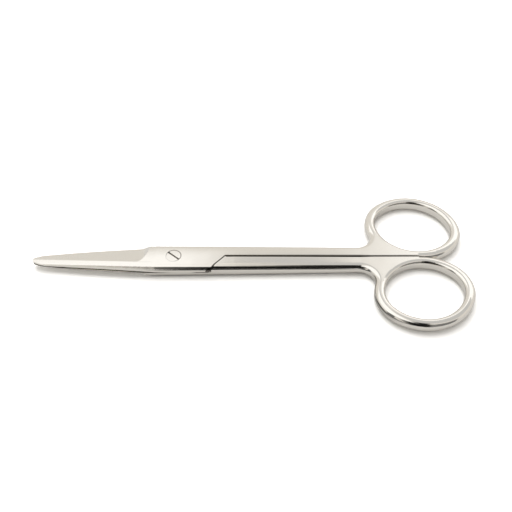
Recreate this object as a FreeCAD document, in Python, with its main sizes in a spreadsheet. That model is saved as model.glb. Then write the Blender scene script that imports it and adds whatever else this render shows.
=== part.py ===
"""Straight dissecting scissors with a lap joint and a slotted pivot screw, 145 mm long.

Both halves are one forging turned over: the lower half is the upper one turned half
round about the long axis. X runs from the blade tips (-) to the finger rings (+), the
pivot axis is Z, and the underside of the joint lies on Z = 0. Each body is drawn with
its parting plane on its own XY plane and is lifted into place by its Placement.
"""
import FreeCAD, Part
import math
import os

import Sketcher

V = FreeCAD.Vector
Z_AXIS = V(0, 0, 1)
TOUCH = 0.1

SIZES = {
    # Lap joint
    "joint_thickness": 5.0,
    "joint_half_width": 5.3,
    "parting_gap": 0.04,
    "lap_shoulder_outer": 12.4,
    "lap_shoulder_inner": 17.4,
    "lap_clearance": 0.22,
    # Blade
    "blade_length": 47.0,
    "blade_root": 6.0,
    "tip_thickness": 0.75,
    "nose_radius": 1.2,
    "nose_arc_start": 120.0,
    "flank_radius": 10.0,
    "flank_start": 43.0,
    "flank_half_width": 2.25,
    "tip_overrun": 1.0,
    "tip_spine": 1.95,
    "tip_edge_radius": 0.45,
    "cutting_edge_radius": 380.0,
    "edge_land": 0.30,
    "bevel_angle": 15.2,
    "bevel_runout_start": 12.4,
    "bevel_runout_radius": 6.0,
    "hollow_depth": 0.14,
    "hollow_half_width": 3.4,
    "hollow_start": 8.0,
    "hollow_tip_depth": 0.02,
    "hollow_tip_half_width": 0.7,
    # Shank
    "shank_taper_start": 20.0,
    "taper_end_lead": 2.8,
    "shank_half_width": 4.6,
    "shank_gap": 0.30,
    "contact_gap": 0.15,
    "contact_inset": 1.2,
    "outer_edge_radius": 1.8,
    "inner_edge_radius": 0.35,
    "crotch_radius": 5.0,
    # Finger ring
    "ring_thickness": 4.2,
    "ring_reach": 81.2,
    "ring_inset": 0.35,
    "ring_tilt": 17.0,
    "hole_half_width": 11.5,
    "oval_stretch": 1.4,
    "oval_end_offset": 3.6,
    "ring_end_wall": 3.5,
    "ring_side_wall": 3.2,
    "hole_edge_radius": 1.3,
    # Pivot screw
    "head_diameter": 5.1,
    "head_height": 1.25,
    "head_chamfer": 0.15,
    "head_clearance": 0.05,
    "shoulder_diameter": 3.6,
    "running_clearance": 0.04,
    "thread_diameter": 3.0,
    "thread_clearance": 0.01,
    "slot_width": 0.75,
    "slot_depth": 0.6,
    "slot_turn": 41.0,
}

doc = FreeCAD.newDocument("dissecting_scissors")
sheet = doc.addObject("Spreadsheet::Sheet", "sizes")
for row, (alias, value) in enumerate(SIZES.items(), start=1):
    sheet.set(f"A{row}", alias)
    sheet.set(f"B{row}", str(value))
    sheet.setAlias(f"B{row}", alias)
doc.recompute()


class Size:
    """A size as a number, together with the sheet formula that drives it."""

    def __init__(self, number, formula):
        self.number = number
        self.formula = formula

    def __add__(self, other):
        other = as_size(other)
        return Size(self.number + other.number, f"({self.formula} + {other.formula})")

    def __sub__(self, other):
        other = as_size(other)
        return Size(self.number - other.number, f"({self.formula} - {other.formula})")

    def __mul__(self, other):
        other = as_size(other)
        return Size(self.number * other.number, f"({self.formula} * {other.formula})")

    def __truediv__(self, other):
        other = as_size(other)
        return Size(self.number / other.number, f"({self.formula} / {other.formula})")

    def __neg__(self):
        return Size(-self.number, f"(0 - {self.formula})")


def as_size(value):
    return value if isinstance(value, Size) else Size(float(value), f"({float(value)})")


def size(alias):
    return Size(float(sheet.get(alias)), f"sizes.{alias}")


def cosine(angle):
    return Size(math.cos(math.radians(angle.number)), f"cos({angle.formula})")


def sine(angle):
    return Size(math.sin(math.radians(angle.number)), f"sin({angle.formula})")


def origin_plane(body, role):
    return next(item for item in body.Origin.OriginFeatures if item.Role == role)


def new_sketch(body, name, role, shift=None, turn=None):
    """A sketch on one of the body's origin planes, moved along its normal or turned on its X."""
    sketch = body.newObject("Sketcher::SketchObject", name)
    sketch.AttachmentSupport = [(origin_plane(body, role), "")]
    sketch.MapMode = "FlatFace"
    if shift is not None:
        sketch.setExpression("AttachmentOffset.Base.z", shift.formula)
    if turn is not None:
        sketch.AttachmentOffset = FreeCAD.Placement(V(0, 0, 0), V(1, 0, 0), turn.number)
        sketch.setExpression("AttachmentOffset.Rotation.Angle", turn.formula)
    return sketch


def bind(sketch, constraint, formula):
    index = sketch.addConstraint(constraint)
    sketch.setExpression(f"Constraints[{index}]", formula)


def pin(sketch, geometry, end, place):
    """Holds one end of a line or arc at a place measured from the origin."""
    across, up = place
    bind(sketch, Sketcher.Constraint("DistanceX", -1, 1, geometry, end, across.number), across.formula)
    bind(sketch, Sketcher.Constraint("DistanceY", -1, 1, geometry, end, up.number), up.formula)


def arc_between(start, finish, radius, bulge):
    """The shorter arc from start to finish; bulge is +1 when it lies left of the chord."""
    chord = finish - start
    left = V(-chord.y, chord.x, 0).normalize() * bulge
    middle = (start + finish) * 0.5
    sagitta = radius - math.sqrt(max(radius ** 2 - (chord.Length / 2) ** 2, 0))
    return Part.Arc(start, middle + left * sagitta, finish)


def draw_outline(sketch, corners, arcs=None):
    """A closed outline through the corners; arcs gives {side number: (radius, bulge)}."""
    arcs = arcs or {}
    ends = []
    count = len(corners)
    for number, (across, up) in enumerate(corners):
        start = V(across.number, up.number, 0)
        next_corner = corners[(number + 1) % count]
        finish = V(next_corner[0].number, next_corner[1].number, 0)
        if number in arcs:
            radius, bulge = arcs[number]
            curve = arc_between(start, finish, radius.number, bulge)
            geometry = sketch.addGeometry(curve, False)
            bind(sketch, Sketcher.Constraint("Radius", geometry, radius.number), radius.formula)
            starts_here = sketch.Geometry[geometry].StartPoint.distanceToPoint(start) < 1e-6
            ends.append((geometry, 1, 2) if starts_here else (geometry, 2, 1))
        else:
            geometry = sketch.addGeometry(Part.LineSegment(start, finish), False)
            ends.append((geometry, 1, 2))
        pin(sketch, geometry, ends[-1][1], corners[number])
    for number in range(count):
        geometry, _, last = ends[number]
        follower, first, _ = ends[(number + 1) % count]
        sketch.addConstraint(Sketcher.Constraint("Coincident", geometry, last, follower, first))


def draw_circle(sketch, diameter):
    circle = sketch.addGeometry(Part.Circle(V(0, 0, 0), Z_AXIS, diameter.number / 2), False)
    sketch.addConstraint(Sketcher.Constraint("Coincident", circle, 3, -1, 1))
    bind(sketch, Sketcher.Constraint("Diameter", circle, diameter.number), diameter.formula)


def draw_oval(sketch, half_width, stretch):
    """The ring's oval, drawn with four tangent arcs, its long axis leaning towards the other half.

    It is longer than wide by the stretch at each end. The end arcs are centred on the long
    axis, oval_end_offset from the ring's centre, and the side arcs on the short axis.
    """
    tilt = -size("ring_tilt")
    end_offset = size("oval_end_offset")
    end_radius = half_width + stretch - end_offset
    excess = end_offset - stretch
    side_offset = (end_offset * end_offset - excess * excess) / (excess * 2)
    side_radius = half_width + side_offset
    between_centres = side_offset + excess
    along = end_offset + end_radius * end_offset / between_centres
    across = end_radius * side_offset / between_centres
    corners = []
    for to_end, to_side in ((1, 1), (-1, 1), (-1, -1), (1, -1)):
        reach = along * to_end * cosine(tilt) - across * to_side * sine(tilt)
        rise = along * to_end * sine(tilt) + across * to_side * cosine(tilt)
        corners.append((ring_reach + reach, ring_offset + rise))
    sides = (side_radius, -1)
    ends = (end_radius, -1)
    draw_outline(sketch, corners, arcs={0: sides, 1: ends, 2: sides, 3: ends})


def add_pad(body, name, sketch, length):
    pad = body.newObject("PartDesign::Pad", name)
    pad.Profile = sketch
    pad.Midplane = True
    pad.setExpression("Length", length.formula)
    doc.recompute()
    return pad


def add_pocket(body, name, sketch, length, both_ways=False):
    """Cuts below the sketch, or to both sides of it, and makes sure that something was cut."""
    before = body.Shape.Volume
    pocket = body.newObject("PartDesign::Pocket", name)
    pocket.Profile = sketch
    pocket.Midplane = both_ways
    pocket.setExpression("Length", length.formula)
    doc.recompute()
    if not pocket.Shape.Volume < before:
        raise RuntimeError(f"{name} removed nothing")
    return pocket


def require_sound(feature):
    """Stops the build where a feature failed or left an open or inside-out solid."""
    shape = feature.Shape
    if "Invalid" in feature.State or shape.isNull() or not shape.isValid() or shape.Volume <= 0:
        raise RuntimeError(f"{feature.Name} is not a sound solid")


def add_loft(body, kind, name, sections):
    loft = body.newObject(kind, name)
    loft.Profile = sections[0]
    loft.Sections = sections[1:]
    loft.Ruled = True
    doc.recompute()
    require_sound(loft)
    return loft


def add_fillet(body, name, radius, wanted):
    """Rounds every edge of the body that the test picks out."""
    base = body.Tip
    names = [f"Edge{number}" for number, edge in enumerate(base.Shape.Edges, start=1) if wanted(edge)]
    if not names:
        raise RuntimeError(f"{name} found no edges")
    fillet = body.newObject("PartDesign::Fillet", name)
    fillet.Base = (base, names)
    fillet.setExpression("Radius", radius.formula)
    doc.recompute()
    require_sound(fillet)
    return fillet


def middle_of(edge):
    return edge.valueAt((edge.FirstParameter + edge.LastParameter) / 2)


joint_thickness = size("joint_thickness")
half_thickness = joint_thickness / 2
joint_side = size("joint_half_width")
blade_root = size("blade_root")
blade_length = size("blade_length")
ring_reach = size("ring_reach")
hole_half_width = size("hole_half_width")
hole_half_length = hole_half_width + size("oval_stretch")
ring_half_length = hole_half_length + size("ring_end_wall")
ring_offset = hole_half_width + size("ring_side_wall") - size("ring_inset")
ring_start = ring_reach - ring_half_length
ring_end = ring_reach + ring_half_length
taper_end = ring_start - size("taper_end_lead")
shank_gap = size("shank_gap")
contact_gap = size("contact_gap")
contact_start = ring_start + size("contact_inset")
shoulder_outer = size("lap_shoulder_outer")
shoulder_inner = size("lap_shoulder_inner")
flank_start = size("flank_start")
flank_half_width = size("flank_half_width")
face_height = size("parting_gap") / 2
margin = as_size(4)


def side_at(reach):
    """Half width of joint and shank, which narrows evenly from the blades to the rings."""
    share = (reach + blade_root) / (ring_reach + blade_root)
    return joint_side - (joint_side - size("shank_half_width")) * share


def distance_to_ring(point):
    """How far a point lies from the upright axis of the ring."""
    return V(point.x - ring_reach.number, point.y - ring_offset.number, 0).Length


def draw_forging(body):
    """The blank bar of joint and shank in plan, as deep as the whole joint."""
    sketch = new_sketch(body, "forging_plan", "XY_Plane")
    corners = [
        (-blade_root, -joint_side),
        (ring_reach, -joint_side),
        (ring_reach, side_at(ring_reach)),
        (-blade_root, joint_side),
    ]
    draw_outline(sketch, corners)
    add_pad(body, "forging", sketch, joint_thickness)


def add_ring(body):
    """The finger ring's outer oval, still solid. Its wall is thicker at the ends than at the sides."""
    sketch = new_sketch(body, "ring_plan", "XY_Plane")
    side_wall = size("ring_side_wall")
    stretch = size("oval_stretch") + size("ring_end_wall") - side_wall
    draw_oval(sketch, hole_half_width + side_wall, stretch)
    add_pad(body, "ring_disc", sketch, joint_thickness)


def cut_inner_side(body):
    """Grinds away what faces the other half: beside the shank, and flat where the rings meet."""
    clearance = size("lap_clearance")
    plate_outer = shoulder_outer - clearance
    plate_inner = shoulder_inner - clearance
    slope = (plate_inner - plate_outer) / (joint_side + shank_gap)
    far_side = joint_side + margin
    sketch = new_sketch(body, "inner_side_plan", "XY_Plane")
    corners = [
        (plate_outer - slope * margin, -far_side),
        (plate_inner, shank_gap),
        (taper_end, shank_gap),
        (contact_start, contact_gap),
        (ring_end + margin, contact_gap),
        (ring_end + margin, -far_side),
    ]
    draw_outline(sketch, corners)
    add_pocket(body, "inner_side", sketch, joint_thickness * 2, both_ways=True)


def cut_lap(body):
    """Takes away the half of the joint that belongs to the other forging."""
    sketch = new_sketch(body, "lap_plan", "XY_Plane", shift=face_height)
    slope = (shoulder_inner - shoulder_outer) / (joint_side + shank_gap)
    far_side = joint_side + margin
    corners = [
        (-(blade_root + margin), -far_side),
        (shoulder_inner, -far_side),
        (shoulder_inner, -shank_gap),
        (shoulder_outer - slope * margin, far_side),
        (-(blade_root + margin), far_side),
    ]
    draw_outline(sketch, corners)
    add_pocket(body, "lap", sketch, joint_thickness)


def taper_shank(body):
    """Thins shank and ring from the joint's thickness to the ring's, on both faces."""
    thin = size("ring_thickness") / 2
    for name, sign in (("top_taper", 1), ("bottom_taper", -1)):
        sketch = new_sketch(body, f"{name}_profile", "XZ_Plane")
        corners = [
            (size("shank_taper_start"), half_thickness * sign),
            (taper_end, thin * sign),
            (ring_end + margin, thin * sign),
            (ring_end + margin, (half_thickness + margin) * sign),
            (size("shank_taper_start"), (half_thickness + margin) * sign),
        ]
        draw_outline(sketch, corners)
        add_pocket(body, name, sketch, (ring_offset + ring_end) * 2, both_ways=True)


def cut_finger_hole(body):
    sketch = new_sketch(body, "finger_hole_plan", "XY_Plane")
    draw_oval(sketch, hole_half_width, size("oval_stretch"))
    add_pocket(body, "finger_hole", sketch, joint_thickness * 2, both_ways=True)


def add_blade(body):
    """The blade's blank: a lofted bar that thins and narrows to the tip, spine rounded."""
    sections = []
    tip_plane = blade_length + size("tip_overrun")
    edge = joint_side
    stations = (
        ("blade_root_section", blade_root, joint_side, half_thickness, size("outer_edge_radius")),
        ("blade_tip_section", tip_plane, size("tip_spine"), size("tip_thickness"), size("tip_edge_radius")),
    )
    for name, reach, spine, thickness, radius in stations:
        sketch = new_sketch(body, name, "YZ_Plane", shift=-reach)
        corners = [
            (-spine, face_height),
            (edge, face_height),
            (edge, thickness - radius),
            (edge - radius, thickness),
            (radius - spine, thickness),
            (-spine, thickness - radius),
        ]
        draw_outline(sketch, corners, arcs={2: (radius, -1), 4: (radius, -1)})
        sections.append(sketch)
    add_loft(body, "PartDesign::AdditiveLoft", "blade_blank", sections)


def shape_cutting_edge(body):
    """Trims the blank to the long curve of the cutting edge and the tapered, blunt round tip."""
    nose_radius = size("nose_radius")
    nose_start = size("nose_arc_start")
    nose_reach = nose_radius * cosine(nose_start) + nose_radius - blade_length
    nose_rise = nose_radius * sine(nose_start)
    far_side = joint_side + margin
    sketch = new_sketch(body, "edge_plan", "XY_Plane")
    corners = [
        (-blade_root, joint_side),
        (-flank_start, flank_half_width),
        (nose_reach, nose_rise),
        (nose_reach, -nose_rise),
        (-flank_start, -flank_half_width),
        (-flank_start, -far_side),
        (-(blade_length + margin), -far_side),
        (-(blade_length + margin), far_side),
        (-blade_root, far_side),
    ]
    edge = (size("cutting_edge_radius"), -1)
    flank = (size("flank_radius"), -1)
    nose = (nose_radius, -1)
    draw_outline(sketch, corners, arcs={0: edge, 1: flank, 2: nose, 3: flank})
    add_pocket(body, "edge_curve", sketch, joint_thickness * 2, both_ways=True)


def grind_bevel(body):
    """The flat bevel and its round run-out, ground straight across the blade."""
    angle = size("bevel_angle")
    land = size("edge_land")
    radius = size("bevel_runout_radius")
    start = -size("bevel_runout_start")
    root_rise = land * cosine(angle) + joint_side * sine(angle)
    flank_rise = land * cosine(angle) + flank_half_width * sine(angle)
    slope = (root_rise - flank_rise) / (flank_start - blade_root)
    beyond = -(blade_length + margin)
    rise = flank_rise + slope * (start + flank_start)
    far_rise = flank_rise + slope * (beyond + flank_start)
    sketch = new_sketch(body, "bevel_profile", "XZ_Plane", turn=-angle)
    corners = [
        (beyond, far_rise),
        (start, rise),
        (start + radius, rise + radius),
        (start + radius, rise + radius + margin),
        (beyond, rise + radius + margin),
    ]
    draw_outline(sketch, corners, arcs={1: (radius, -1)})
    add_pocket(body, "bevel", sketch, (joint_side + margin) * 4, both_ways=True)


def grind_hollow(body):
    """A shallow hollow on the inner face that fades out before the tip."""
    sections = []
    stations = (
        ("hollow_root_section", size("hollow_start"), size("hollow_half_width"), size("hollow_depth")),
        ("hollow_tip_section", flank_start, size("hollow_tip_half_width"), size("hollow_tip_depth")),
    )
    for name, reach, half, rise in stations:
        sketch = new_sketch(body, name, "YZ_Plane", shift=-reach)
        radius = (half * half + rise * rise) / (rise * 2)
        corners = [
            (-half, face_height),
            (-half, -margin),
            (half, -margin),
            (half, face_height),
        ]
        draw_outline(sketch, corners, arcs={3: (radius, -1)})
        sections.append(sketch)
    add_loft(body, "PartDesign::SubtractiveLoft", "hollow_grind", sections)


def bore(body, name, diameter, height, depth):
    sketch = new_sketch(body, f"{name}_plan", "XY_Plane", shift=height)
    draw_circle(sketch, diameter)
    add_pocket(body, name, sketch, depth)


def on_outer_face(point):
    return abs(point.z) > size("ring_thickness").number / 2 - TOUCH


def on_hole_rim(point):
    return distance_to_ring(point) < hole_half_length.number + TOUCH


def round_crotch(body):
    """The hollow corner where the shank runs into the outside of the ring."""
    def wanted(edge):
        first, last = edge.Vertexes[0].Point, edge.Vertexes[-1].Point
        upright = V(first.x - last.x, first.y - last.y, 0).Length < TOUCH
        point = middle_of(edge)
        on_side = abs(point.y - side_at(as_size(point.x)).number) < TOUCH
        return upright and on_side and point.x > ring_start.number

    add_fillet(body, "crotch", size("crotch_radius"), wanted)


def round_outer_rim(body):
    """The bold rounding that runs along the shank and round the outside of the ring."""
    def wanted(edge):
        point = middle_of(edge)
        beside_shank = point.y > side_at(as_size(point.x)).number - TOUCH
        beside_ring = distance_to_ring(point) < ring_half_length.number + TOUCH
        return on_outer_face(point) and (beside_shank or beside_ring)

    add_fillet(body, "outer_rim", size("outer_edge_radius"), wanted)


def round_hole_rim(body):
    def wanted(edge):
        point = middle_of(edge)
        return on_hole_rim(point) and on_outer_face(point)

    add_fillet(body, "hole_rim", size("hole_edge_radius"), wanted)


def round_plate_rim(body):
    """The same bold rounding on the free side of the joint plate."""
    def wanted(edge):
        point = middle_of(edge)
        on_side = abs(point.y + side_at(as_size(point.x)).number) < TOUCH
        return on_side and on_outer_face(point)

    add_fillet(body, "plate_rim", size("outer_edge_radius"), wanted)


def round_inner_rim(body):
    """The fine rounding of the edges that face the other shank."""
    def wanted(edge):
        point = middle_of(edge)
        facing = contact_gap.number - TOUCH < point.y < shank_gap.number + TOUCH
        return facing and on_outer_face(point)

    add_fillet(body, "inner_rim", size("inner_edge_radius"), wanted)


def build_half(label):
    """One forging, from its plan to the finished blade, still without its screw hole."""
    body = doc.addObject("PartDesign::Body", label)
    body.Label = label
    draw_forging(body)
    add_ring(body)
    taper_shank(body)
    round_crotch(body)
    round_outer_rim(body)
    cut_inner_side(body)
    round_inner_rim(body)
    cut_lap(body)
    cut_finger_hole(body)
    round_hole_rim(body)
    round_plate_rim(body)
    add_blade(body)
    shape_cutting_edge(body)
    grind_bevel(body)
    grind_hollow(body)
    return body


def build_upper_half():
    """The half on top: it turns on the screw's shoulder and takes the flush screw head."""
    body = build_half("upper_half")
    shoulder_hole = size("shoulder_diameter") + size("running_clearance") * 2
    head_hole = size("head_diameter") + size("head_clearance") * 2
    bore(body, "shoulder_hole", shoulder_hole, half_thickness + margin, joint_thickness + margin * 2)
    recess_floor = half_thickness - size("head_height") - face_height
    bore_to(body, "head_recess", head_hole, recess_floor)
    body.setExpression("Placement.Base.z", half_thickness.formula)
    return body


def build_lower_half():
    """The same forging turned half round about X, with the screw's threaded hole."""
    body = build_half("lower_half")
    hole = size("thread_diameter") + size("thread_clearance") * 2
    bore(body, "thread_hole", hole, half_thickness + margin, joint_thickness + margin * 2)
    body.Placement = FreeCAD.Placement(V(0, 0, 0), V(1, 0, 0), 180)
    body.setExpression("Placement.Base.z", half_thickness.formula)
    return body


def bore_to(body, name, diameter, floor):
    """A flat-bottomed recess from the outer face down to the floor height."""
    top = half_thickness + margin
    bore(body, name, diameter, top, top - floor)


def build_pivot_screw():
    """A turned screw: flush slotted head, running shoulder, threaded end cut off flush."""
    body = doc.addObject("PartDesign::Body", "pivot_screw")
    body.Label = "pivot_screw"
    head = size("head_diameter") / 2
    shoulder = size("shoulder_diameter") / 2
    thread = size("thread_diameter") / 2
    chamfer = size("head_chamfer")
    head_base = half_thickness - size("head_height")
    sketch = new_sketch(body, "screw_section", "XZ_Plane")
    corners = [
        (as_size(0), -half_thickness),
        (thread - chamfer, -half_thickness),
        (thread, chamfer - half_thickness),
        (thread, -face_height),
        (shoulder, -face_height),
        (shoulder, head_base),
        (head, head_base),
        (head, half_thickness - chamfer),
        (head - chamfer, half_thickness),
        (as_size(0), half_thickness),
    ]
    draw_outline(sketch, corners)
    turned = body.newObject("PartDesign::Revolution", "turned_screw")
    turned.Profile = sketch
    turned.ReferenceAxis = (sketch, ["V_Axis"])
    turned.Angle = 360
    doc.recompute()
    cut_driver_slot(body, head)
    body.setExpression("Placement.Base.z", half_thickness.formula)
    return body


def cut_driver_slot(body, head):
    """The screwdriver slot, at the angle at which the screw came to rest."""
    half_width = size("slot_width") / 2
    turn = -size("slot_turn")
    reach = head + margin
    sketch = new_sketch(body, "slot_plan", "XY_Plane", shift=half_thickness)
    corners = []
    for along, across in ((-reach, -half_width), (reach, -half_width), (reach, half_width), (-reach, half_width)):
        corners.append((along * cosine(turn) - across * sine(turn), along * sine(turn) + across * cosine(turn)))
    draw_outline(sketch, corners)
    add_pocket(body, "driver_slot", sketch, size("slot_depth"))


def check_document():
    for item in doc.Objects:
        if "Invalid" in item.State or "Error" in item.State:
            raise RuntimeError(f"{item.Name} did not compute: {item.State}")


def write_part(body):
    shape = body.Shape
    if shape.isNull() or not shape.isValid() or len(shape.Solids) != 1:
        raise RuntimeError(f"{body.Label} is not one valid solid")
    shape.exportStep(os.path.join("parts", f"{body.Label}.step"))
    print(f"{body.Label}: {shape.Volume:.1f} mm3, {shape.BoundBox}")


sub_parts = [build_upper_half(), build_lower_half(), build_pivot_screw()]
doc.recompute()
check_document()
os.makedirs("parts", exist_ok=True)
for sub_part in sub_parts:
    write_part(sub_part)
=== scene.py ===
"""Dissecting scissors, closed, lying on a white table: the finish of two forged halves and their screw."""
import math

import bpy
from bpy.props import FloatProperty, FloatVectorProperty, PointerProperty, StringProperty
from mathutils import Matrix, Vector


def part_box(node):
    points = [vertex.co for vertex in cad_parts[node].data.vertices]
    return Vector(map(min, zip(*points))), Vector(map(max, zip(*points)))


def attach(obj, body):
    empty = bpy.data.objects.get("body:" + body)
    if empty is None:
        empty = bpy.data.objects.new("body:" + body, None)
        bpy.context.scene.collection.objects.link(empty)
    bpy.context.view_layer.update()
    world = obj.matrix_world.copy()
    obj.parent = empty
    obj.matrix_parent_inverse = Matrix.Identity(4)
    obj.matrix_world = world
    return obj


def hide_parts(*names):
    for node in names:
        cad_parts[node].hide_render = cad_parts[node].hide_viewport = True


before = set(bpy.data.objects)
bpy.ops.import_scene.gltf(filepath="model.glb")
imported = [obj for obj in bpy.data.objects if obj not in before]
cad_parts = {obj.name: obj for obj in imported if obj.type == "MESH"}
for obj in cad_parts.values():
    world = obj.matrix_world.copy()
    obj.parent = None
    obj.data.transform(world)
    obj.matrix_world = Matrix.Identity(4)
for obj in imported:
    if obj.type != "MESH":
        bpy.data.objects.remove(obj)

bl_info = {
    "name": "Dissecting Scissors",
    "version": (1, 0, 0),
    "blender": (4, 5, 0),
    "location": "View3D > Sidebar > Scissors",
    "description": "Builds a pair of dissecting scissors on its construction frame",
    "category": "Add Mesh",
}

MM = 0.001
FACE_HEIGHT = float(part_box("pivot_screw")[1][2])

# Places of a Mix node's colour inputs and output, which share their names with its other kinds.
COLOUR_A = 6
COLOUR_B = 7
COLOUR_RESULT = 2


def linear(hex_colour):
    """An sRGB hex colour as linear red, green, blue and alpha."""
    channels = [int(hex_colour[i:i + 2], 16) / 255 for i in (1, 3, 5)]
    return (*[c / 12.92 if c <= 0.04045 else ((c + 0.055) / 1.055) ** 2.4 for c in channels], 1.0)


def add_node(tree, kind, inputs=None, **settings):
    """Adds one node. Settings are its properties; an input takes a value, an output or a whole node.

    A whole node stands for its first output.
    """
    node = tree.nodes.new(kind)
    for name, value in settings.items():
        setattr(node, name, value)
    for name, value in (inputs or {}).items():
        if isinstance(value, bpy.types.Node):
            value = value.outputs[0]
        if isinstance(value, bpy.types.NodeSocket):
            tree.links.new(value, node.inputs[name])
        else:
            node.inputs[name].default_value = value
    return node


def new_material(name):
    """An empty node material and its output."""
    material = bpy.data.materials.new(name)
    material.use_nodes = True
    material.node_tree.nodes.clear()
    return material, add_node(material.node_tree, "ShaderNodeOutputMaterial")


class SteelSettings(bpy.types.PropertyGroup):
    """Finish of the two forged halves."""

    body_colour: StringProperty(
        name="Steel", description="Polished stainless steel, as sRGB hex", default="#E6E2DB")
    polish: FloatProperty(
        name="Polish", description="Roughness of the polished body", default=0.13, min=0.0, max=1.0)
    satin: FloatProperty(
        name="Satin", description="Roughness of the ground bevels", default=0.27, min=0.0, max=1.0)
    parting_height: FloatProperty(
        name="Parting Height", description="Height of the plane where the halves meet",
        default=FACE_HEIGHT / 2, unit="LENGTH")
    bevel_angle: FloatProperty(
        name="Bevel Angle", description="Tilt of the bevel across the blade", default=math.radians(15.2),
        subtype="ANGLE")
    bevel_slope: FloatProperty(
        name="Bevel Slope", description="Rise of the bevel along the blade", default=0.021613)
    bevel_rise: FloatProperty(
        name="Bevel Rise", description="Distance of the bevel's plane from the parting plane at the pivot",
        default=1.80879 * MM, unit="LENGTH", precision=6)
    bevel_end: FloatProperty(
        name="Bevel End", description="Where the bevel runs out before the joint",
        default=-7 * MM, unit="LENGTH")
    # Painted shade: the dark colour painted into the seams between the halves and along lap and parting
    # line, where shade falls.
    painted_shade_colour: StringProperty(
        name="Stain", description="Dark residue in the seams, as sRGB hex", default="#3A322C")
    # Painted shade: how strongly shade is painted along lap and parting line.
    painted_shade: FloatProperty(
        name="Stain Strength", description="Share of dark residue along lap and parting line",
        default=0.85, min=0.0, max=1.0)
    seam_width: FloatProperty(
        name="Seam Width", description="How far from a seam the steel is darkened",
        default=0.5 * MM, unit="LENGTH")
    lap_slope: FloatProperty(
        name="Lap Slope", description="Slope of the lap's line across the joint", default=0.893)
    lap_crossing: FloatProperty(
        name="Lap Crossing", description="Where the lap's line crosses the long axis",
        default=17.02 * MM, unit="LENGTH", precision=5)
    half_width: FloatProperty(
        name="Half Width", description="Half width of the joint", default=5.3 * MM, unit="LENGTH")
    crown_radius: FloatProperty(
        name="Crown Radius", description="Radius of the crown across joint and shanks",
        default=100 * MM, unit="LENGTH")
    wave_length: FloatProperty(
        name="Wave Length", description="Length of the waves left by hand polishing",
        default=7 * MM, unit="LENGTH")
    wave_height: FloatProperty(
        name="Wave Height", description="Height of the waves left by hand polishing",
        default=0.04 * MM, unit="LENGTH", precision=6)


class StageSettings(bpy.types.PropertyGroup):
    """The camera: its elevation, distance, turn, lens and aim."""

    camera_elevation: FloatProperty(
        name="Camera Elevation", description="Angle of the view above the table",
        default=0.8203, subtype="ANGLE")
    camera_distance: FloatProperty(
        name="Camera Distance", description="From the aimed point to the lens",
        default=251.47 * MM, unit="LENGTH")
    camera_yaw: FloatProperty(
        name="Camera Yaw", description="Turn of the view about the vertical",
        default=0.00107, subtype="ANGLE")
    camera_roll: FloatProperty(
        name="Camera Roll", description="Turn of the picture about the line of sight",
        default=-0.0041, subtype="ANGLE")
    lens: FloatProperty(
        name="Lens", description="Focal length on a 36 mm wide sensor", default=52.04)
    aim: FloatVectorProperty(
        name="Aim", description="Point on the table at the picture's centre",
        default=(27.28 * MM, 4.35 * MM, 0.0), subtype="TRANSLATION", unit="LENGTH")


# Stretch along X over which the crown fades out, where the shanks run into the rings.
CROWN_FADE = (45 * MM, 62 * MM)

# Height above the bevel's plane up to which the steel counts as ground.
BEVEL_NEARNESS = 0.03 * MM

# A fine belt leaves lines about 0.03 mm apart, too fine to show, so these are four times as coarse.
LINE_SPACING = 0.12 * MM
LINE_LENGTH = 6 * MM
LINE_HEIGHT = 0.0008 * MM

# Rays that the painted shade in a seam is measured with.
SEAM_SAMPLES = 8

# Openness between which a seam turns from painted shade to plain steel, and the least share of plain steel
# between the rings, which touch, with the stretch along X over which it comes in.
SEAM_OPENNESS = (0.45, 0.85)
RING_LEAST_UNSHADED = 0.75
RING_SEAM = (46 * MM, 58 * MM)

# The painted shade along the lap's gap: half its width on the face, how much wider it is down the joint's
# edge, where that edge begins, how far it leans there for its depth, and how far it passes the axis.
LAP_HALF_WIDTH = 0.3 * MM
LAP_WIDENING = 0.5 * MM
LAP_EDGE = (4.6 * MM, 5.1 * MM)
LAP_LEAN = 0.45
LAP_PAST_AXIS = 0.3 * MM

# The painted shade at the parting line: half its width, the stretch over which it fades out towards the
# joint, the stretch over which it comes in again before the lap, and where it ends there.
PARTING_HALF_WIDTH = 0.24 * MM
PARTING_BLADE_END = (-8 * MM, 2 * MM)
PARTING_LAP_START = (5.5 * MM, 8 * MM)
PARTING_LAP_END = 11.5 * MM

# A face whose normal rises less than this is a side.
SIDE_RISE = 0.5


def crown(tree, axes, steel):
    """The slight crown that hand polishing leaves across joint and shanks, as a height."""
    across = add_node(tree, "ShaderNodeMath", {0: axes.outputs["Y"]}, operation="ABSOLUTE")
    within = add_node(tree, "ShaderNodeMath", {0: across, 1: steel.half_width}, operation="MINIMUM")
    square = add_node(tree, "ShaderNodeMath", {0: within, 1: within}, operation="MULTIPLY")
    bend = add_node(tree, "ShaderNodeMapRange",
                    {"Value": axes.outputs["X"], "From Min": CROWN_FADE[0], "From Max": CROWN_FADE[1],
                     "To Min": -0.5 / steel.crown_radius, "To Max": 0.0}, interpolation_type="SMOOTHSTEP")
    return add_node(tree, "ShaderNodeMath", {0: square, 1: bend}, operation="MULTIPLY")


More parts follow.
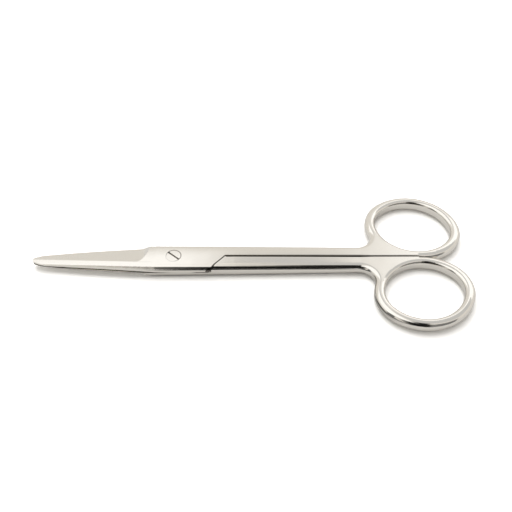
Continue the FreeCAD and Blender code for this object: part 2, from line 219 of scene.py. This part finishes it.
def ground_bevel(tree, place, axes, side, steel):
    """1 on the blade's flat bevel, 0 elsewhere. The side is +1 on the upper half and -1 on the lower."""
    upright = side * math.cos(steel.bevel_angle)
    normal = (-steel.bevel_slope, side * math.sin(steel.bevel_angle), upright)
    distance = add_node(tree, "ShaderNodeVectorMath", {0: place.outputs["Object"], 1: normal},
                        operation="DOT_PRODUCT")
    plane = steel.bevel_rise + upright * steel.parting_height
    on_plane = add_node(tree, "ShaderNodeMath", {0: distance.outputs["Value"], 1: plane, 2: BEVEL_NEARNESS},
                        operation="COMPARE")
    on_blade = add_node(tree, "ShaderNodeMath", {0: axes.outputs["X"], 1: steel.bevel_end},
                        operation="LESS_THAN")
    return add_node(tree, "ShaderNodeMath", {0: on_plane, 1: on_blade}, operation="MULTIPLY")


def grinding_lines(tree, place):
    """Fine lines that run across the blade, as the grinding belt left them."""
    grain = (1 / LINE_SPACING, 1 / LINE_LENGTH, 1 / LINE_LENGTH)
    stretched = add_node(tree, "ShaderNodeVectorMath", {0: place.outputs["Object"], 1: grain},
                         operation="MULTIPLY")
    return add_node(tree, "ShaderNodeTexNoise", {"Vector": stretched, "Scale": 1.0, "Detail": 2.0})


def lap_shade(tree, axes, steel):
    """1 along the lap's slanted line, where shade is painted: narrow on the joint's face, wider and leaning
    down its edge.
    """
    height = add_node(tree, "ShaderNodeMath", {0: axes.outputs["Z"], 1: steel.parting_height},
                      operation="SUBTRACT")
    level = add_node(tree, "ShaderNodeMath", {0: height}, operation="ABSOLUTE")
    depth = add_node(tree, "ShaderNodeMath", {0: steel.parting_height, 1: level}, operation="SUBTRACT")
    face = add_node(tree, "ShaderNodeMath", {0: height}, operation="SIGN")
    across = add_node(tree, "ShaderNodeMath", {0: axes.outputs["Y"], 1: face}, operation="MULTIPLY")
    outwards = add_node(tree, "ShaderNodeMath", {0: across}, operation="ABSOLUTE")
    edge = add_node(tree, "ShaderNodeMapRange",
                    {"Value": outwards, "From Min": LAP_EDGE[0], "From Max": LAP_EDGE[1]},
                    interpolation_type="SMOOTHSTEP")
    down_edge = add_node(tree, "ShaderNodeMath", {0: depth, 1: edge}, operation="MULTIPLY")
    straight = add_node(tree, "ShaderNodeMath", {0: across, 1: steel.lap_slope, 2: steel.lap_crossing},
                        operation="MULTIPLY_ADD")
    line = add_node(tree, "ShaderNodeMath", {0: down_edge, 1: -LAP_LEAN, 2: straight},
                    operation="MULTIPLY_ADD")
    reach = add_node(tree, "ShaderNodeMath", {0: edge, 1: LAP_WIDENING, 2: LAP_HALF_WIDTH},
                     operation="MULTIPLY_ADD")
    beside = add_node(tree, "ShaderNodeMath", {0: axes.outputs["X"], 1: line, 2: reach},
                      operation="COMPARE")
    before_axis = add_node(tree, "ShaderNodeMath", {0: across, 1: LAP_PAST_AXIS}, operation="LESS_THAN")
    return add_node(tree, "ShaderNodeMath", {0: beside, 1: before_axis}, operation="MULTIPLY")


def parting_shade(tree, axes, steel):
    """1 where the halves meet and shade is painted, along the blades' sides and again just before the lap.
    """
    geometry = add_node(tree, "ShaderNodeNewGeometry")
    normal = add_node(tree, "ShaderNodeSeparateXYZ", {"Vector": geometry.outputs["True Normal"]})
    rise = add_node(tree, "ShaderNodeMath", {0: normal.outputs["Z"]}, operation="ABSOLUTE")
    on_side = add_node(tree, "ShaderNodeMath", {0: rise, 1: SIDE_RISE}, operation="LESS_THAN")
    on_line = add_node(tree, "ShaderNodeMath",
                       {0: axes.outputs["Z"], 1: steel.parting_height, 2: PARTING_HALF_WIDTH},
                       operation="COMPARE")
    seen = add_node(tree, "ShaderNodeMath", {0: on_side, 1: on_line}, operation="MULTIPLY")
    blade = add_node(tree, "ShaderNodeMapRange",
                     {"Value": axes.outputs["X"], "From Min": PARTING_BLADE_END[0],
                      "From Max": PARTING_BLADE_END[1], "To Min": 1.0, "To Max": 0.0},
                     interpolation_type="SMOOTHSTEP")
    start = add_node(tree, "ShaderNodeMapRange",
                     {"Value": axes.outputs["X"], "From Min": PARTING_LAP_START[0],
                      "From Max": PARTING_LAP_START[1]}, interpolation_type="SMOOTHSTEP")
    end = add_node(tree, "ShaderNodeMath", {0: axes.outputs["X"], 1: PARTING_LAP_END},
                   operation="LESS_THAN")
    by_lap = add_node(tree, "ShaderNodeMath", {0: start, 1: end}, operation="MULTIPLY")
    stretch = add_node(tree, "ShaderNodeMath", {0: blade, 1: by_lap}, operation="MAXIMUM")
    return add_node(tree, "ShaderNodeMath", {0: seen, 1: stretch}, operation="MULTIPLY")


def unshaded_steel(tree, axes, steel):
    """1 on plain steel, less where shade is painted: in the seams between the halves and along lap and
    parting line.
    """
    # Painted shade: the seams between the halves are darkened as far as they are occluded.
    seam = add_node(tree, "ShaderNodeAmbientOcclusion", {"Distance": steel.seam_width},
                    samples=SEAM_SAMPLES)
    clear = add_node(tree, "ShaderNodeMapRange",
                     {"Value": seam.outputs["AO"], "From Min": SEAM_OPENNESS[0],
                      "From Max": SEAM_OPENNESS[1]}, interpolation_type="SMOOTHSTEP")
    between_rings = add_node(tree, "ShaderNodeMapRange",
                             {"Value": axes.outputs["X"], "From Min": RING_SEAM[0],
                              "From Max": RING_SEAM[1], "To Max": RING_LEAST_UNSHADED},
                             interpolation_type="SMOOTHSTEP")
    unshaded_seams = add_node(tree, "ShaderNodeMath", {0: clear, 1: between_rings}, operation="MAXIMUM")
    shade = add_node(tree, "ShaderNodeMath",
                       {0: lap_shade(tree, axes, steel), 1: parting_shade(tree, axes, steel)},
                       operation="MAXIMUM")
    free = add_node(tree, "ShaderNodeMath", {0: shade, 1: -steel.painted_shade, 2: 1.0},
                    operation="MULTIPLY_ADD")
    return add_node(tree, "ShaderNodeMath", {0: unshaded_seams, 1: free}, operation="MINIMUM")


def polished_steel(name, side, steel):
    """Martensitic stainless steel, drop forged and hand polished: a bright mirror with a soft, faint haze.

    The bevels are ground on a fine belt and left satin, with lines across the blade.
    """
    material, output = new_material(name)
    tree = material.node_tree
    place = add_node(tree, "ShaderNodeTexCoord")
    axes = add_node(tree, "ShaderNodeSeparateXYZ", {"Vector": place.outputs["Object"]})
    waves = add_node(tree, "ShaderNodeTexNoise",
                     {"Vector": place.outputs["Object"], "Scale": 1 / steel.wave_length, "Detail": 1.0})
    body = add_node(tree, "ShaderNodeMath", {0: waves, 1: steel.wave_height, 2: crown(tree, axes, steel)},
                    operation="MULTIPLY_ADD")
    ground = ground_bevel(tree, place, axes, side, steel)
    lines = add_node(tree, "ShaderNodeMath", {0: grinding_lines(tree, place), 1: ground},
                     operation="MULTIPLY")
    height = add_node(tree, "ShaderNodeMath", {0: lines, 1: LINE_HEIGHT, 2: body},
                      operation="MULTIPLY_ADD")
    bump = add_node(tree, "ShaderNodeBump", {"Height": height, "Distance": 1.0})
    roughness = add_node(tree, "ShaderNodeMapRange",
                         {"Value": ground, "To Min": steel.polish, "To Max": steel.satin})
    # The steel's colour takes painted shade in the seams and along lap and parting line.
    colour = add_node(tree, "ShaderNodeMix",
                      {"Factor": unshaded_steel(tree, axes, steel), COLOUR_A: linear(steel.painted_shade_colour),
                       COLOUR_B: linear(steel.body_colour)}, data_type="RGBA")
    shader = add_node(tree, "ShaderNodeBsdfPrincipled",
                      {"Base Color": colour.outputs[COLOUR_RESULT], "Normal": bump,
                       "Roughness": roughness, "Metallic": 1.0})
    tree.links.new(shader.outputs["BSDF"], output.inputs["Surface"])
    return material


# Lengths of the stage are in metres.
TABLE_SIZE = 1.8

# Levels of table and room: as they light the rest, as metal and glass show them, as the eye sees them.
TABLE_LEVELS = (0.8, 0.85, 1.55)
ROOM_LEVELS = (0.45, 0.85, 1.0)
ROOM_TINT = "#FFFCF6"
WHITE = "#FFFFFF"

LAMP_PLACE = (-0.1, 0.33, 0.85)
LAMP_WIDTH = 0.9
LAMP_POWER = 5.6

# A card stands behind the scissors or before them, seen from the camera, and the darkest are all but black.
BEHIND = 1
BEFORE = -1
BLACK = 0.01

# Name, level, left and right edge, lowest and highest elevation in degrees, behind or before, distance,
# width of the soft left and right edge, and the share of the height that is a soft edge.
CARDS = (
    ("dark_front_card", BLACK, -0.16, 0.157, 0.0, 49.0, BEFORE, 0.26, 0.16, 0.03, 0.04),
    ("dark_right_card", 0.22, 0.12, 0.60, 0.0, 49.0, BEFORE, 0.28, 0.05, 0.10, 0.04),
    ("dark_left_card", 0.12, -0.70, -0.17, 0.0, 55.0, BEFORE, 0.26, 0.10, 0.06, 0.10),
    ("dark_top_card", BLACK, 0.01, 0.145, 40.0, 70.0, BEFORE, 0.26, 0.07, 0.03, 0.10),
    ("grey_ceiling", 0.66, 0.00, 0.90, 57.0, 112.0, BEHIND, 0.55, 0.12, 0.10, 0.08),
    ("grey_shank_card", 0.66, -0.03, 0.14, 46.0, 62.0, BEHIND, 0.50, 0.08, 0.05, 0.20),
    ("overhead_softbox", 1.27, -1.38, 0.02, 42.0, 130.0, BEHIND, 0.60, 0.10, 0.10, 0.08),
    ("right_softbox", 1.35, 0.08, 0.90, 30.0, 58.0, BEHIND, 0.60, 0.20, 0.10, 0.10),
)

# The dark strip on the table before the shanks, and the shares of it that are soft edges.
STRIP_MIDDLE = (27 * MM, -104.7 * MM, 0.2 * MM)
STRIP_SIZE = (90 * MM, 190.6 * MM, 1.0)
STRIP_SIDE_FADE = 0.2
STRIP_END_FADE = 0.022

SENSOR_WIDTH = 36.0
NEAREST_SEEN = 1 * MM
FURTHEST_SEEN = 20.0


class SCISSORS_OT_stage(bpy.types.Operator):
    """Lays the white table and sets the lamp, the cards that only reflections see, and the camera"""

    bl_idname = "scissors.stage"
    bl_label = "Stage"

    def execute(self, context):
        add_table()
        light_the_table(context.scene)
        for card in CARDS:
            add_card(*card)
        add_floor_strip()
        add_camera(context.scene, context.scene.scissors_stage)
        return {"FINISHED"}


def seen_level(tree, lit, in_metal, by_eye):
    """The level at which a surface lights the rest, shows in metal and glass, and shows to the eye."""
    path = add_node(tree, "ShaderNodeLightPath")
    mirrored = add_node(tree, "ShaderNodeMath",
                        {0: path.outputs["Is Glossy Ray"], 1: path.outputs["Is Transmission Ray"]},
                        operation="MAXIMUM")
    behind = add_node(tree, "ShaderNodeMix", {"Factor": mirrored, "A": lit, "B": in_metal})
    return add_node(tree, "ShaderNodeMix",
                    {"Factor": path.outputs["Is Camera Ray"], "A": behind, "B": by_eye})


def add_table():
    """The table top, matt white card, which shows the scissors' soft shadow."""
    bpy.ops.object.select_all(action="DESELECT")
    bpy.ops.mesh.primitive_plane_add(size=TABLE_SIZE)
    table = bpy.context.object
    table.name = "table"
    material, output = new_material("white_card")
    tree = material.node_tree
    shader = add_node(tree, "ShaderNodeBsdfDiffuse", {"Color": seen_level(tree, *TABLE_LEVELS)})
    tree.links.new(shader.outputs[0], output.inputs["Surface"])
    table.data.materials.append(material)


def light_the_table(scene):
    """A bright, slightly warm room, white to the eye, and one wide lamp for the soft shadow."""
    world = bpy.data.worlds.new("studio")
    scene.world = world
    world.use_nodes = True
    tree = world.node_tree
    tree.nodes.clear()
    path = add_node(tree, "ShaderNodeLightPath")
    tint = add_node(tree, "ShaderNodeMix",
                    {"Factor": path.outputs["Is Camera Ray"], COLOUR_A: linear(ROOM_TINT),
                     COLOUR_B: linear(WHITE)}, data_type="RGBA")
    background = add_node(tree, "ShaderNodeBackground",
                          {"Color": tint.outputs[COLOUR_RESULT],
                           "Strength": seen_level(tree, *ROOM_LEVELS)})
    add_node(tree, "ShaderNodeOutputWorld", {"Surface": background})
    bpy.ops.object.light_add(type="AREA", location=LAMP_PLACE)
    lamp = bpy.context.object
    lamp.name = "shadow_lamp"
    lamp.data.shape = "SQUARE"
    lamp.data.size = LAMP_WIDTH
    lamp.data.energy = LAMP_POWER
    lamp.visible_glossy = False
    lamp.rotation_euler = (-lamp.location).to_track_quat("-Z", "Y").to_euler()


def soft_edges(tree, along, first_fade, last_fade):
    """1 in the middle of a card one unit long, falling to 0 at its two ends."""
    rise = add_node(tree, "ShaderNodeMapRange",
                    {"Value": along, "From Min": -0.5, "From Max": first_fade - 0.5},
                    interpolation_type="SMOOTHSTEP")
    fall = add_node(tree, "ShaderNodeMapRange",
                    {"Value": along, "From Min": 0.5 - last_fade, "From Max": 0.5, "To Min": 1.0,
                     "To Max": 0.0}, interpolation_type="SMOOTHSTEP")
    return add_node(tree, "ShaderNodeMath", {0: rise, 1: fall}, operation="MULTIPLY")


def card_material(name, level, left_fade, right_fade, end_fade):
    """An even glow with soft edges, black or bright, which only reflections see."""
    material, output = new_material(name)
    tree = material.node_tree
    place = add_node(tree, "ShaderNodeTexCoord")
    axes = add_node(tree, "ShaderNodeSeparateXYZ", {"Vector": place.outputs["Object"]})
    cover = add_node(tree, "ShaderNodeMath",
                     {0: soft_edges(tree, axes.outputs["X"], left_fade, right_fade),
                      1: soft_edges(tree, axes.outputs["Y"], end_fade, end_fade)}, operation="MULTIPLY")
    clear = add_node(tree, "ShaderNodeBsdfTransparent")
    glow = add_node(tree, "ShaderNodeEmission", {"Strength": level})
    mixed = add_node(tree, "ShaderNodeMixShader", {0: cover, 1: clear, 2: glow})
    tree.links.new(mixed.outputs[0], output.inputs["Surface"])
    return material


def add_card(name, level, left, right, low, high, side, distance, left_fade, right_fade, end_fade):
    """A card behind or before the scissors that gives their polished steel its darks or lights."""
    low, high = math.radians(low), math.radians(high)
    middle = (low + high) / 2
    width = right - left
    centre = Vector(((left + right) / 2, side * distance * math.cos(middle), distance * math.sin(middle)))
    bpy.ops.object.select_all(action="DESELECT")
    bpy.ops.mesh.primitive_plane_add(size=1.0, location=centre)
    card = bpy.context.object
    card.name = name
    card.scale = (width, 2 * distance * math.tan((high - low) / 2), 1.0)
    card.rotation_euler = (side * (middle - math.pi / 2), 0.0, 0.0)
    card.data.materials.append(
        card_material(name, level, left_fade / width, right_fade / width, end_fade))
    hide_from_all_but_reflections(card)


def add_floor_strip():
    """A dark strip lying before the shanks, which widens the dark line along their rounded sides."""
    bpy.ops.object.select_all(action="DESELECT")
    bpy.ops.mesh.primitive_plane_add(size=1.0, location=STRIP_MIDDLE)
    strip = bpy.context.object
    strip.name = "floor_strip"
    strip.scale = STRIP_SIZE
    strip.data.materials.append(
        card_material("floor_strip", BLACK, STRIP_SIDE_FADE, STRIP_SIDE_FADE, STRIP_END_FADE))
    hide_from_all_but_reflections(strip)


def hide_from_all_but_reflections(card):
    """Leaves a card visible in gloss alone, as part of the stage."""
    card.visible_camera = False
    card.visible_diffuse = False
    card.visible_shadow = False
    card.visible_transmission = False


def add_camera(scene, stage):
    """The camera at the photograph's viewing angle."""
    data = bpy.data.cameras.new("camera")
    camera = bpy.data.objects.new("camera", data)
    scene.collection.objects.link(camera)
    scene.camera = camera
    heading = Matrix.Rotation(stage.camera_yaw, 3, "Z")
    turn = (heading @ Matrix.Rotation(math.pi / 2 - stage.camera_elevation, 3, "X")
            @ Matrix.Rotation(stage.camera_roll, 3, "Z"))
    aim = heading @ Vector(stage.aim)
    camera.location = aim + turn @ Vector((0.0, 0.0, stage.camera_distance))
    camera.rotation_euler = turn.to_euler()
    data.sensor_width = SENSOR_WIDTH
    data.lens = stage.lens
    data.clip_start = NEAREST_SEEN
    data.clip_end = FURTHEST_SEEN


class SCISSORS_OT_halves(bpy.types.Operator):
    """Gives both forged halves their polished steel and their satin bevels"""

    bl_idname = "scissors.halves"
    bl_label = "Forged Halves"

    def execute(self, context):
        steel = context.scene.scissors_steel
        for node, side in (("upper_half", 1.0), ("lower_half", -1.0)):
            material = polished_steel(f"polished_stainless_steel_{node}", side, steel)
            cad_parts[node].material_slots[0].material = material
        return {"FINISHED"}


class ScrewSettings(bpy.types.PropertyGroup):
    """Sizes and finish of the pivot screw."""

    head_radius: FloatProperty(
        name="Head Radius", description="Radius of the screw's head", default=2.55 * MM, unit="LENGTH")
    head_height: FloatProperty(
        name="Head Height", description="Height of the head", default=1.25 * MM, unit="LENGTH")
    shoulder_radius: FloatProperty(
        name="Shoulder Radius", description="Radius of the running shoulder",
        default=1.8 * MM, unit="LENGTH")
    thread_radius: FloatProperty(
        name="Thread Radius", description="Radius of the threaded end", default=1.5 * MM, unit="LENGTH")
    top: FloatProperty(
        name="Top", description="Height of the head's face", default=FACE_HEIGHT, unit="LENGTH")
    slot_width: FloatProperty(
        name="Slot Width", description="Width of the driver slot", default=0.55 * MM, unit="LENGTH")
    slot_depth: FloatProperty(
        name="Slot Depth", description="Depth of the driver slot", default=0.6 * MM, unit="LENGTH")
    slot_turn: FloatProperty(
        name="Slot Turn", description="Angle of the driver slot",
        default=math.radians(-41), subtype="ANGLE")
    edge: FloatProperty(
        name="Edge", description="Rounding of the head's rim and of the slot's edges",
        default=0.1 * MM, unit="LENGTH", precision=5)
    polish: FloatProperty(
        name="Polish", description="Roughness of the head's face", default=0.16, min=0.0, max=1.0)
    # Painted shade: the grey painted into the slot and round the head's rim, where shade falls.
    painted_shade_colour: StringProperty(
        name="Stain", description="Grey residue in slot and rim, as sRGB hex", default="#8A847B")
    slot_shade: FloatProperty(
        name="Slot Shade", description="How far the screw's slot and rim are darkened",
        default=0.9 * MM, unit="LENGTH")


# Turning leaves rings about 0.1 mm apart, too fine to show, so these are 0.5 mm apart. A Wave texture's
# rings lie 0.314 of this length from each other.
RING_LENGTH = 1.6 * MM
RING_HEIGHT = 0.0003 * MM
RING_DISTORTION = 0.6

# Openness between which the slot turns from painted shade to plain steel.
SLOT_OPENNESS = (0.3, 0.75)

# Painted shade round the head, where its rim meets the joint: from where to where outwards, and from where
# to where towards the far ring.
RIM_SHADE = (2.15 * MM, 2.5 * MM)
RIM_SHADE_SIDE = (-3 * MM, 1 * MM)

HEAD_VERTICES = 96
RIM_SEGMENTS = 3
RIM_ANGLE = math.radians(40)

# Steps of the rim turn by more than this and stay crisp, so that the head's face is shaded flat.
SMOOTH_ANGLE = math.radians(12)

# A face whose normal sinks below this looks down.
DOWNWARD = -0.9


def shaded_rim(tree, place, axes):
    """1 on the head's face, less on its rim where shade is painted, towards the far ring."""
    flat = add_node(tree, "ShaderNodeVectorMath", {0: place.outputs["Object"], 1: (1.0, 1.0, 0.0)},
                    operation="MULTIPLY")
    radius = add_node(tree, "ShaderNodeVectorMath", {0: flat}, operation="LENGTH")
    rim = add_node(tree, "ShaderNodeMapRange",
                   {"Value": radius.outputs["Value"], "From Min": RIM_SHADE[0], "From Max": RIM_SHADE[1]},
                   interpolation_type="SMOOTHSTEP")
    far_side = add_node(tree, "ShaderNodeMath", {0: axes.outputs["X"], 1: axes.outputs["Y"]},
                        operation="ADD")
    far_share = add_node(tree, "ShaderNodeMapRange",
                        {"Value": far_side, "From Min": RIM_SHADE_SIDE[0], "From Max": RIM_SHADE_SIDE[1]},
                        interpolation_type="SMOOTHSTEP")
    painted_shade = add_node(tree, "ShaderNodeMath", {0: rim, 1: far_share}, operation="MULTIPLY")
    return add_node(tree, "ShaderNodeMath", {0: 1.0, 1: painted_shade}, operation="SUBTRACT")


def turned_steel(name, steel, screw):
    """Stainless screw steel, turned, then ground flush and polished with the joint.

    It gives the eye a bright disc with the faintest rings, and painted grey shade in slot and rim.
    """
    material, output = new_material(name)
    tree = material.node_tree
    place = add_node(tree, "ShaderNodeTexCoord")
    axes = add_node(tree, "ShaderNodeSeparateXYZ", {"Vector": place.outputs["Object"]})
    rings = add_node(tree, "ShaderNodeTexWave",
                     {"Vector": place.outputs["Object"], "Scale": 1 / RING_LENGTH,
                      "Distortion": RING_DISTORTION, "Detail": 1.0},
                     wave_type="RINGS", rings_direction="Z")
    height = add_node(tree, "ShaderNodeMath",
                      {0: rings.outputs["Fac"], 1: RING_HEIGHT, 2: crown(tree, axes, steel)},
                      operation="MULTIPLY_ADD")
    bump = add_node(tree, "ShaderNodeBump", {"Height": height, "Distance": 1.0})
    # Painted shade: the slot is darkened as far as it is occluded, and the rim where it meets the joint.
    seam = add_node(tree, "ShaderNodeAmbientOcclusion", {"Distance": screw.slot_shade},
                    samples=SEAM_SAMPLES)
    clear = add_node(tree, "ShaderNodeMapRange",
                     {"Value": seam.outputs["AO"], "From Min": SLOT_OPENNESS[0],
                      "From Max": SLOT_OPENNESS[1]}, interpolation_type="SMOOTHSTEP")
    unshaded_share = add_node(tree, "ShaderNodeMath", {0: clear, 1: shaded_rim(tree, place, axes)},
                     operation="MINIMUM")
    colour = add_node(tree, "ShaderNodeMix",
                      {"Factor": unshaded_share, COLOUR_A: linear(screw.painted_shade_colour),
                       COLOUR_B: linear(steel.body_colour)}, data_type="RGBA")
    shader = add_node(tree, "ShaderNodeBsdfPrincipled",
                      {"Base Color": colour.outputs[COLOUR_RESULT], "Normal": bump,
                       "Roughness": screw.polish, "Metallic": 1.0})
    tree.links.new(shader.outputs["BSDF"], output.inputs["Surface"])
    return material


def keep_faces(mesh, wanted):
    """Selects the faces that the test picks out, in edit mode with faces shown."""
    bpy.ops.mesh.select_all(action="DESELECT")
    bpy.ops.object.mode_set(mode="OBJECT")
    for face in mesh.polygons:
        face.select = wanted(face)
    bpy.ops.object.mode_set(mode="EDIT")
    bpy.ops.mesh.select_mode(type="FACE")


def narrow(radius, next_radius, length):
    """Steps the selected end face in to the next radius and draws it out downwards."""
    bpy.ops.mesh.inset(thickness=radius - next_radius, depth=0)
    bpy.ops.mesh.extrude_region_move(TRANSFORM_OT_translate={"value": (0.0, 0.0, -length)})


class SCISSORS_OT_screw(bpy.types.Operator):
    """Turns the pivot screw: slotted flush head, running shoulder and threaded end"""

    bl_idname = "scissors.screw"
    bl_label = "Pivot Screw"

    def execute(self, context):
        settings = context.scene.scissors_screw
        thread_length = settings.top / 2
        shoulder_length = settings.top - settings.head_height - thread_length
        bpy.ops.object.select_all(action="DESELECT")
        bpy.ops.mesh.primitive_cylinder_add(
            vertices=HEAD_VERTICES, radius=settings.head_radius, depth=settings.head_height,
            location=(0.0, 0.0, settings.top - settings.head_height / 2))
        screw = context.object
        screw.name = "turned_pivot_screw"
        bpy.ops.object.transform_apply(location=True, rotation=False, scale=False)
        bpy.ops.object.mode_set(mode="EDIT")
        keep_faces(screw.data, lambda face: face.normal.z < DOWNWARD)
        narrow(settings.head_radius, settings.shoulder_radius, shoulder_length)
        narrow(settings.shoulder_radius, settings.thread_radius, thread_length)
        bpy.ops.object.mode_set(mode="OBJECT")
        cut_driver_slot(screw, settings)
        round_edges(screw, settings)
        screw.data.materials.append(
            turned_steel("turned_stainless_steel", context.scene.scissors_steel, settings))
        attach(screw, "lower")
        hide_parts("pivot_screw")
        return {"FINISHED"}


def cut_driver_slot(screw, settings):
    """Mills the driver slot straight across the head."""
    past_the_head = settings.head_radius * 3
    bpy.ops.object.select_all(action="DESELECT")
    bpy.ops.mesh.primitive_cube_add(size=1.0, location=(0.0, 0.0, settings.top),
                                    rotation=(0.0, 0.0, settings.slot_turn))
    cutter = bpy.context.object
    cutter.scale = (past_the_head, settings.slot_width, settings.slot_depth * 2)
    bpy.ops.object.transform_apply(location=True, rotation=True, scale=True)
    slot = screw.modifiers.new("slot", "BOOLEAN")
    slot.operation = "DIFFERENCE"
    slot.object = cutter
    slot.solver = "EXACT"
    bpy.ops.object.select_all(action="DESELECT")
    bpy.context.view_layer.objects.active = screw
    screw.select_set(True)
    bpy.ops.object.modifier_apply(modifier=slot.name)
    bpy.data.objects.remove(cutter)


def round_edges(screw, settings):
    """Softens the head's rim, the slot's edges and the steps of the shank."""
    rim = screw.modifiers.new("rim", "BEVEL")
    rim.width = settings.edge
    rim.segments = RIM_SEGMENTS
    rim.limit_method = "ANGLE"
    rim.angle_limit = RIM_ANGLE
    bpy.ops.object.modifier_apply(modifier=rim.name)
    bpy.ops.object.shade_smooth_by_angle(angle=SMOOTH_ANGLE)


class SCISSORS_PT_panel(bpy.types.Panel):
    """The scissors' pieces and their stage, in the 3D view's sidebar"""

    bl_idname = "SCISSORS_PT_panel"
    bl_label = "Dissecting Scissors"
    bl_space_type = "VIEW_3D"
    bl_region_type = "UI"
    bl_category = "Scissors"

    def draw(self, context):
        scene = context.scene
        for settings in (scene.scissors_steel, scene.scissors_screw, scene.scissors_stage):
            for name in settings.__annotations__:
                self.layout.prop(settings, name)
        for operator in OPERATORS:
            self.layout.operator(operator.bl_idname)


OPERATORS = (SCISSORS_OT_halves, SCISSORS_OT_screw, SCISSORS_OT_stage)
CLASSES = (SteelSettings, ScrewSettings, StageSettings, *OPERATORS, SCISSORS_PT_panel)


def register():
    for cls in CLASSES:
        bpy.utils.register_class(cls)
    bpy.types.Scene.scissors_steel = PointerProperty(type=SteelSettings)
    bpy.types.Scene.scissors_screw = PointerProperty(type=ScrewSettings)
    bpy.types.Scene.scissors_stage = PointerProperty(type=StageSettings)


def unregister():
    del bpy.types.Scene.scissors_stage
    del bpy.types.Scene.scissors_screw
    del bpy.types.Scene.scissors_steel
    for cls in reversed(CLASSES):
        bpy.utils.unregister_class(cls)


def main():
    """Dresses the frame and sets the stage."""
    for leftover in ("Cube", "Light", "Camera"):
        if leftover in bpy.data.objects:
            bpy.data.objects.remove(bpy.data.objects[leftover])
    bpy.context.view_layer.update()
    register()
    bpy.ops.scissors.halves()
    bpy.ops.scissors.screw()
    bpy.ops.scissors.stage()
    bpy.context.scene.view_settings.view_transform = "Standard"


if __name__ == "__main__":
    main()
